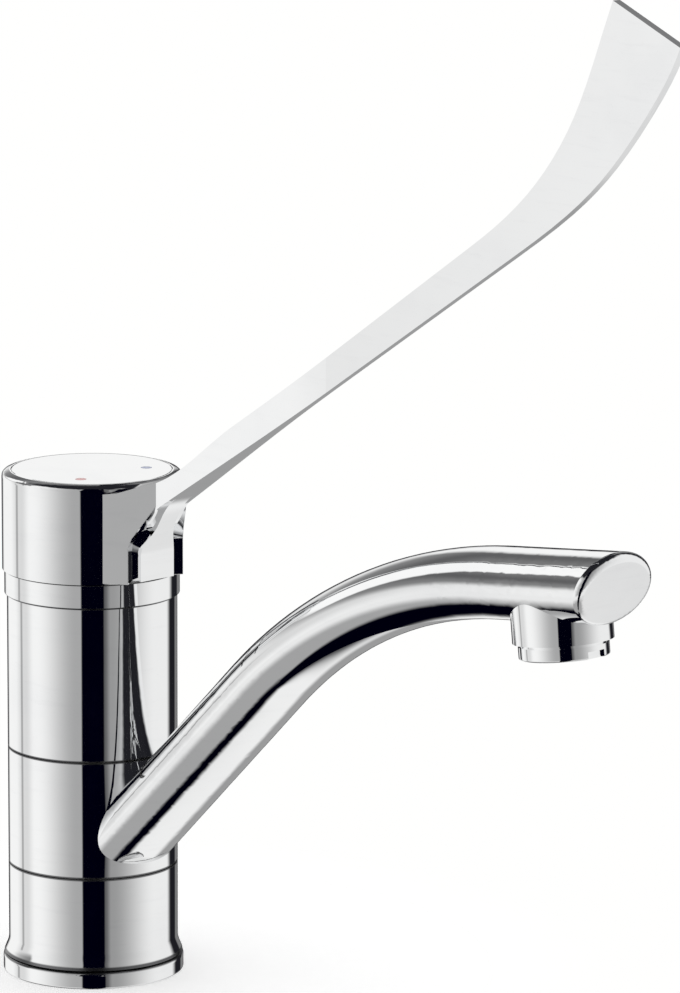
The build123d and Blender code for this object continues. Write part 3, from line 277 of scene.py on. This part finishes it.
def table(side, dip):
    """Table top: grey, black at the back left and white at the back right."""
    left = TABLE_FAR + TABLE_NEAR_GAIN * (1 - dip.step(*TABLE_FAR_DIP))
    left = left * (1 - (1 - side.step(*TABLE_DARK_SIDE)) * dip.step(*TABLE_DARK_DIP))
    turned = side.step(*TABLE_RIGHT_SIDE)
    right = TABLE_RIGHT - TABLE_RIGHT_LOSS * turned + TABLE_GLOW * dip.step(*TABLE_GLOW_DIP) * turned
    right = right * (1 - side.step(*TABLE_END_SIDE) * dip.step(*TABLE_END_DIP) * TABLE_END_LOSS)
    return blend(left, right, side.step(*TABLE_TURN_SIDE)) * (1 - dip.step(*UNDER_TABLE_DIP))


def room(side, rise):
    """How bright the studio is, by the angle to the right of the camera and the one above the horizon."""
    dip = rise * -1
    bright = with_lights(walls(side, rise), side, rise)
    bright = blend(bright, CEILING, rise.step(*CEILING_RISE))
    bright = blend(bright, table(side, dip), dip.step(*TABLE_DIP))
    # the dark screen round the camera, and a narrow one on the left
    screen = between(side, *SCREEN_SIDE) * (1 - rise.step(*SCREEN_TOP_RISE)) * rise.step(*SCREEN_FOOT_RISE)
    slit = between(side, *SLIT_SIDE) * between(rise, *SLIT_RISE) * SLIT
    return bright * (1 - screen.high(slit))


CAMERA_SIDE = 134                       # degrees about Z that bring the camera's direction onto X
DEGREES = 180 / pi
BLUE_GAIN, BLUE_LIFT = 0.99, 0.004      # whites a little warm, blacks a little cold
MATT_LIGHT, MATT_LEVEL, MATT_FROM_ABOVE = 0.92, 0.86, 0.16


def studio_world():
    """White for the camera, the room for what mirrors it, and plain soft light for what is matt."""
    world = bpy.data.worlds.new("studio")
    scene.world = world
    w = Finish(world)
    directions = w.out(w.node("ShaderNodeTexCoord"), "Generated")
    x, y, z = w.axes(w.mapped(directions, Rotation=(0, 0, radians(CAMERA_SIDE))))
    side = w.out(w.node("ShaderNodeMath", {"operation": "ARCTAN2"}, _0=y, _1=x)) * DEGREES
    rise = w.out(w.node("ShaderNodeMath", {"operation": "ARCSINE"}, _0=z)) * DEGREES
    path = w.node("ShaderNodeLightPath")
    camera_ray = w.out(path, "Is Camera Ray")
    bright = blend(room(side, rise), 1, camera_ray).limit()
    shown = w.node("ShaderNodeBackground", Color=w.rgb(bright, bright, bright * BLUE_GAIN + BLUE_LIFT),
                   Strength=1.0)
    plain = MATT_LIGHT * (MATT_LEVEL + MATT_FROM_ABOVE * z)
    matt = w.node("ShaderNodeBackground", Color=w.rgb(plain, plain, plain), Strength=1.0)
    seen = camera_ray.high(w.out(path, "Is Glossy Ray")).high(w.out(path, "Is Transmission Ray"))
    both = w.node("ShaderNodeMixShader", _0=seen, _1=matt.outputs[0], _2=shown.outputs[0])
    w.node("ShaderNodeOutputWorld", Surface=both.outputs[0])


FLOOR_R, FLOOR_SIDES = 0.16, 96
FLOOR_FADE = (0.04, 0.15)               # distance from the axis where it starts to fade, and where it is gone
FLOOR_LIFT = 0.26                       # brings the bare floor to the white behind it, so only shadow is seen


def studio_floor():
    """Round pale floor that runs out into the white of the room."""
    bpy.ops.object.select_all(action="DESELECT")
    bpy.ops.mesh.primitive_circle_add(vertices=FLOOR_SIDES, radius=FLOOR_R, fill_type="NGON")
    floor = bpy.context.object
    floor.name = "floor"
    f = Finish(bpy.data.materials.new("pale_floor"))
    reach = f.out(f.node("ShaderNodeVectorMath", {"operation": "LENGTH"}, _0=f.place()), "Value")
    grain = f.grain(scale=140, detail=4)
    path = f.node("ShaderNodeLightPath")
    gone = reach.step(*FLOOR_FADE).high(f.out(path, "Is Glossy Ray"))
    colour = f.shade((0.93, 0.93, 0.93), (0.96, 0.96, 0.96), grain)
    base = f.node("ShaderNodeBsdfPrincipled", Base_Color=colour, Roughness=0.9,
                  Normal=f.bump(grain, depth=0.0002))
    glow = f.out(path, "Is Camera Ray") * FLOOR_LIFT
    lift = f.node("ShaderNodeEmission", Color=(1, 1, 1, 1), Strength=glow)
    lit = f.node("ShaderNodeAddShader", _0=base.outputs[0], _1=lift.outputs[0])
    clear = f.node("ShaderNodeBsdfTransparent")
    mix = f.node("ShaderNodeMixShader", _0=gone, _1=lit.outputs[0], _2=clear.outputs[0])
    f.node("ShaderNodeOutputMaterial", Surface=mix.outputs[0])
    floor.data.materials.append(f.owner)


# Finishes. The joints between the sections have a height, and half the width that painted shade darkens.
JOINTS = ((0.0052, 0.0009), (0.0315, 0.00055), (0.0651, 0.0005), (0.10915, 0.00032), (0.11605, 0.00028))
JOINT_EDGE = (0.7, 1.25)                # soft edge of a joint's painted shade, in half widths
SECTIONS_END = (0.00069, 0.00073)       # squared distance from the axis where the body's sections end
# near-black colour of the painted shade in the joints between the sections
JOINT_SHADE = (0.035, 0.035, 0.04, 1)
JOINT_SHADE_LEAST, JOINT_SHADE_ROUGHNESS = 0.72, 0.25


def polished_chrome(name, joints=()):
    """Chrome plate: near mirror, with a breath of haze, fine wipe marks and the soft waves of a buffed
    casting. Painted shade darkens the joints, which are given as heights and half widths."""
    f = Finish(bpy.data.materials.new(name))
    x, y, z = f.axes()
    cloud = f.grain(scale=26, detail=5)
    wipe = f.grain(scale=60, detail=4, at=f.stretched(1, 1, 9))
    film = (cloud.step(0.46, 0.72) * 0.7 + wipe.step(0.5, 0.78) * 0.5).limit()
    colour = f.shade((0.94, 0.945, 0.95), (0.89, 0.895, 0.905), film)
    rough = 0.020 + film * 0.028
    if joints:
        # painted shade: the seams between the sections are darkened nearly to black, like shadow in the gaps
        inner, outer = JOINT_EDGE
        lines = [1 - abs(z - height).step(half * inner, half * outer) for height, half in joints]
        joint_shade = lines[0]
        for line in lines[1:]:
            joint_shade = joint_shade.high(line)
        joint_shade = joint_shade * (JOINT_SHADE_LEAST + (1 - JOINT_SHADE_LEAST) * cloud)
        joint_shade = joint_shade * (1 - (x * x + y * y).step(*SECTIONS_END))
        colour = f.mix(colour, JOINT_SHADE, joint_shade)
        rough = rough + joint_shade * JOINT_SHADE_ROUGHNESS
    return f.surface(colour, rough, f.bump(f.grain(scale=42, detail=2), depth=0.00002), metallic=1.0)


def satin_steel():
    """Stainless steel, drawn and turned: fine lines, grey, with a few brighter rubs."""
    f = Finish(bpy.data.materials.new("satin_steel"))
    rings = f.lathe_lines(*f.axes(), per_metre=2600)
    cloud = f.grain(scale=90, detail=5)
    rub = f.grain(scale=240, detail=3).step(0.56, 0.7)
    colour = f.shade((0.50, 0.505, 0.515), (0.68, 0.685, 0.69), (rings * 0.6 + cloud * 0.4).step(0.3, 0.7))
    rough = 0.22 + rings * 0.16 + cloud * 0.10 - rub * 0.08
    normal = f.bump(rings, depth=0.000012, normal=f.bump(cloud, depth=0.00003))
    return f.surface(colour, rough, normal, metallic=1.0)


def turned_brass():
    """Machined brass: lathe lines round the axis, and a thin brown bloom."""
    f = Finish(bpy.data.materials.new("turned_brass"))
    lines = f.lathe_lines(*f.axes(), per_metre=2200)
    bloom = f.grain(scale=120, detail=6).step(0.45, 0.75)
    bright = f.shade((0.74, 0.56, 0.27), (0.83, 0.68, 0.38), lines)
    rough = 0.24 + bloom * 0.22 + lines * 0.08
    colour = f.mix(bright, (0.47, 0.32, 0.15, 1), bloom * 0.55)
    return f.surface(colour, rough, f.bump(lines, depth=0.000014), metallic=1.0)


def black_rubber():
    """Moulded rubber: nearly black, fine grain, a grey bloom in patches."""
    f = Finish(bpy.data.materials.new("black_rubber"))
    grain = f.grain(scale=1500, detail=4)
    bloom = f.grain(scale=70, detail=5).step(0.5, 0.8)
    colour = f.shade((0.018, 0.018, 0.019), (0.06, 0.06, 0.062), bloom * 0.6 + grain * 0.25)
    rough = 0.62 + bloom * 0.18 + grain * 0.12
    return f.surface(colour, rough, f.bump(grain, depth=0.00004))


def moulded_plastic(name, low, high, rough, speckle):
    """Moulded plastic with flow clouds and a fine tool grain."""
    f = Finish(bpy.data.materials.new(name))
    flow = f.grain(scale=55, detail=5, at=f.stretched(1, 1, 0.3))
    grain = f.grain(scale=1900, detail=3)
    speck = f.grain(scale=700, detail=2).step(0.70, 0.76) * speckle
    colour = f.shade(low, high, (flow.step(0.3, 0.7) * 0.8 + grain * 0.2 - speck).limit())
    normal = f.bump(grain, depth=0.000018, normal=f.bump(flow, depth=0.00003))
    return f.surface(colour, rough + grain * 0.14 - flow * 0.06, normal)


ENAMEL_EDGE = (0.0009, 0.0017)          # distance from a mark's middle where its enamel curves down


def enamel(name, low, high, centre):
    """Glossy enamel let into the lid: darker towards its edge, with pinholes."""
    f = Finish(bpy.data.materials.new(name))
    x, y, z = f.axes(f.mapped(f.place(), Location=(-centre[0], -centre[1], 0)))
    edge = f.from_axis(x, y).step(*ENAMEL_EDGE)
    pool = f.grain(scale=1400, detail=4)
    pit = f.grain(scale=5200, detail=2).step(0.66, 0.74)
    colour = f.shade(low, high, (1 - edge) * 0.6 + pool * 0.4)
    normal = f.bump(edge * -1 + pit * -0.3, depth=0.00006)
    return f.surface(colour, 0.16 + pool * 0.12 + pit * 0.2, normal, coat=0.6)


def middle(node):
    low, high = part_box(node)
    return [(a + b) / 2 for a, b in zip(low, high)]


scene.view_settings.view_transform = "Standard"
studio_camera()
studio_world()
studio_floor()

finishes = {
    "chrome": polished_chrome("polished_chrome"),
    "steel": satin_steel(),
    "brass": turned_brass(),
    "rubber": black_rubber(),
    "bush_plastic": moulded_plastic("bush_plastic", (0.70, 0.69, 0.62), (0.84, 0.83, 0.78), 0.38, 0.2),
    "valve_plastic": moulded_plastic("valve_plastic", (0.56, 0.58, 0.60), (0.76, 0.77, 0.77), 0.30, 0.3),
    "red_mark": enamel("red_enamel", (0.36, 0.04, 0.04), (0.62, 0.10, 0.09), middle("hot_mark")),
    "blue_mark": enamel("blue_enamel", (0.05, 0.07, 0.20), (0.10, 0.16, 0.42), middle("cold_mark")),
}
slots = {part["node"]: part["material_slot"] for part in frame["record"]["subparts"]}
for name, node in frame["nodes"].items():
    node.data.materials.clear()
    node.data.materials.append(finishes[slots[name]])
sections = polished_chrome("chrome_sections", JOINTS)
for name in ("base_ring", "foot", "spout", "body", "turning_ring"):
    frame["nodes"][name].data.materials[0] = sections


# New pieces
STARTER = 0.001         # size of the plane that a drawn outline starts from
MERGE = 1e-6            # points closer than this are one, and a cut is this exact


def edit(piece, action="SELECT"):
    """Go into edit mode on this piece alone, with all or none of its mesh selected."""
    bpy.ops.object.select_all(action="DESELECT")
    bpy.context.view_layer.objects.active = piece
    piece.select_set(True)
    bpy.ops.object.mode_set(mode="EDIT")
    bpy.ops.mesh.select_all(action=action)


def leave_edit():
    bpy.ops.object.mode_set(mode="OBJECT")


def draw(name, points):
    """Edges from point to point: one corner of a small plane is kept and pulled along."""
    bpy.ops.object.select_all(action="DESELECT")
    to_middle = Vector((STARTER / 2, STARTER / 2, 0))
    bpy.ops.mesh.primitive_plane_add(size=STARTER, location=points[0] + to_middle)
    piece = bpy.context.object
    piece.name = piece.data.name = name
    bpy.ops.object.transform_apply(location=True, rotation=True, scale=True)
    edit(piece, "DESELECT")
    leave_edit()
    for corner in piece.data.vertices:
        corner.select = (corner.co - points[0]).length > STARTER / 2
    bpy.ops.object.mode_set(mode="EDIT")
    bpy.ops.mesh.delete(type="VERT")
    bpy.ops.mesh.select_all(action="SELECT")
    for here, there in zip(points, points[1:]):
        bpy.ops.mesh.extrude_region_move(TRANSFORM_OT_translate={"value": there - here})
    leave_edit()
    return piece


def cut(piece, at, normal):
    """Cut off what lies on the side that the normal points to, and close the cut."""
    edit(piece)
    bpy.ops.mesh.bisect(plane_co=at, plane_no=normal, clear_outer=True, use_fill=True, threshold=MERGE)
    leave_edit()


def done(piece, body, finish, angle):
    """Merge, turn the faces outwards, smooth below the angle, and give body and finish."""
    edit(piece)
    bpy.ops.mesh.remove_doubles(threshold=MERGE)
    bpy.ops.mesh.normals_make_consistent(inside=False)
    leave_edit()
    bpy.ops.object.shade_smooth_by_angle(angle=radians(angle))
    piece.data.materials.clear()
    piece.data.materials.append(finish)
    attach(piece, body)


# Cheeks: from the cap's wall a flat runs on to the blade's side, and ends at the slanted edge of the arch.
# The foot and the end are in plan. Arch and top are distances along the flat, and heights. The back line,
# in plan, lies inside the cap's wall, and the cheek ends inside the blade.
CHEEK_FOOT, CHEEK_END = Vector((-0.0145, -0.0207, 0)), Vector((-0.0054, -0.0337, 0))
CHEEK_LOW = 0.1166
CHEEK_ARCH = ((0.0072, 0.1270), (0.0082, 0.1296), (0.0142, 0.1378), (0.0180, 0.1428))
CHEEK_TOP = ((0.0180, 0.1470), (0.0107, 0.1445), (0.0040, 0.1424), (-0.0060, 0.1412))
CHEEK_BACK = (Vector((-0.0155, -0.0190, 0)), Vector((-0.0040, -0.0239, 0)))
CHEEK_DEPTH = 0.02
CHEEK_IN_BLADE = Vector((-0.0040, 0, 0))
CHEEK_SMOOTH = 20                       # degrees
CHEEK_ROUND, ROUND_STEPS = 0.0006, 4


def cheek():
    along = (CHEEK_END - CHEEK_FOOT).normalized()
    outward = Vector((along.y, -along.x, 0))
    foot_edge = ((CHEEK_TOP[-1][0], CHEEK_LOW), (CHEEK_ARCH[0][0], CHEEK_LOW))
    outline = [CHEEK_FOOT + along * distance + Vector((0, 0, height))
               for distance, height in (*foot_edge, *CHEEK_ARCH, *CHEEK_TOP)]
    left = draw("lever_cheek_left", outline)
    edit(left)
    bpy.ops.mesh.edge_face_add()
    bpy.ops.mesh.extrude_region_move(TRANSFORM_OT_translate={"value": -outward * CHEEK_DEPTH})
    leave_edit()
    back = CHEEK_BACK[1] - CHEEK_BACK[0]
    cut(left, CHEEK_BACK[0], Vector((-back.y, back.x, 0)).normalized())
    cut(left, CHEEK_IN_BLADE, (1, 0, 0))
    done(left, "lever", finishes["chrome"], CHEEK_SMOOTH)
    bevel = left.modifiers.new("edges", "BEVEL")
    bevel.width, bevel.segments = CHEEK_ROUND, ROUND_STEPS
    bevel.limit_method, bevel.angle_limit = "ANGLE", radians(CHEEK_SMOOTH)
    bevel.harden_normals = True
    bpy.ops.object.modifier_apply(modifier="edges")
    bpy.ops.object.duplicate(linked=False)
    right = bpy.context.object
    right.name = right.data.name = "lever_cheek_right"
    edit(right)
    bpy.ops.transform.mirror(constraint_axis=(True, False, False), center_override=(0, 0, 0))
    leave_edit()
    done(right, "lever", finishes["chrome"], CHEEK_SMOOTH)


# Fixing stud: M8, threaded all the way
STUD_R, STUD_ROOT_R, STUD_PITCH = 0.00398, 0.00338, 0.00125
STUD_Y, STUD_LOW, STUD_HIGH = 0.0105, -0.058, 0.014
STUD_SIDES, STUD_SMOOTH = 24, 25
ROOT_FLAT, CREST_START, CREST_END = 2 / 8, 4.5 / 8, 5.5 / 8     # places of the thread's corners in a pitch
SPARE_TURNS = 3                         # so that both ends are cut through whole threads
SEAM = 2e-6                             # gap between turns that is merged


def threaded_stud():
    corners = ((STUD_ROOT_R, 0), (STUD_ROOT_R, ROOT_FLAT), (STUD_R, CREST_START), (STUD_R, CREST_END),
               (STUD_ROOT_R, 1))
    bottom = STUD_LOW - STUD_PITCH
    stud = draw("fixing_stud_thread", [Vector((r, 0, bottom + place * STUD_PITCH)) for r, place in corners])
    screw = stud.modifiers.new("thread", "SCREW")
    screw.axis, screw.angle, screw.screw_offset = "Z", 2 * pi, STUD_PITCH
    screw.iterations = int((STUD_HIGH - STUD_LOW) / STUD_PITCH) + SPARE_TURNS
    screw.steps = screw.render_steps = STUD_SIDES
    screw.use_merge_vertices = True
    bpy.ops.object.modifier_apply(modifier="thread")
    edit(stud)
    bpy.ops.mesh.remove_doubles(threshold=SEAM)
    bpy.ops.mesh.normals_make_consistent(inside=False)
    bpy.ops.transform.translate(value=(0, STUD_Y, 0))
    leave_edit()
    cut(stud, (0, 0, STUD_LOW), (0, 0, -1))
    cut(stud, (0, 0, STUD_HIGH), (0, 0, 1))
    done(stud, "tap_body", finishes["steel"], STUD_SMOOTH)
    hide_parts("fixing_stud")


cheek()
threaded_stud()
